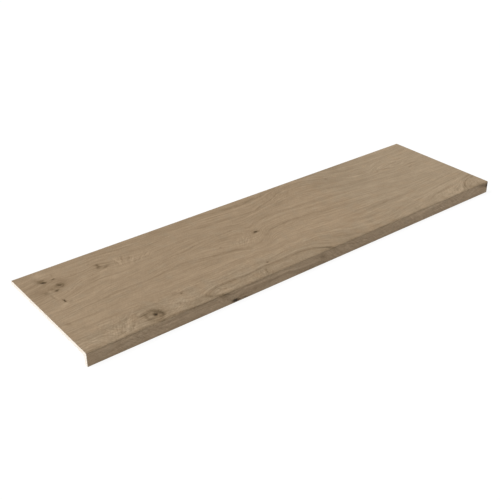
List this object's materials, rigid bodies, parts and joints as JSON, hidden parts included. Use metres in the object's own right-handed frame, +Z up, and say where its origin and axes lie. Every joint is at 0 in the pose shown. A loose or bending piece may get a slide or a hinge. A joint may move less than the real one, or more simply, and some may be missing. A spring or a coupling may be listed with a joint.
{
  "type": "stair tread",
  "caption": "Long thin wood-look ceramic stair tread, a flat slab whose front edge turns down into a straight square nose.",
  "frame": {"origin": "on the floor under the middle of the tread, level with the foot of the nose", "axes": "+X along the step's width, -Y towards the person who climbs, so the nose faces -Y, +Z up out of the walking face"},
  "size_m": [1.2, 0.33, 0.032],
  "materials": {
    "oak_look_porcelain": "matt, oak figure on the walking face and the front of the nose, pale body on the cut edges and the underside"
  },
  "bodies": {
    "root": {"stair_tread": "oak_look_porcelain"}
  },
  "joints": []
}
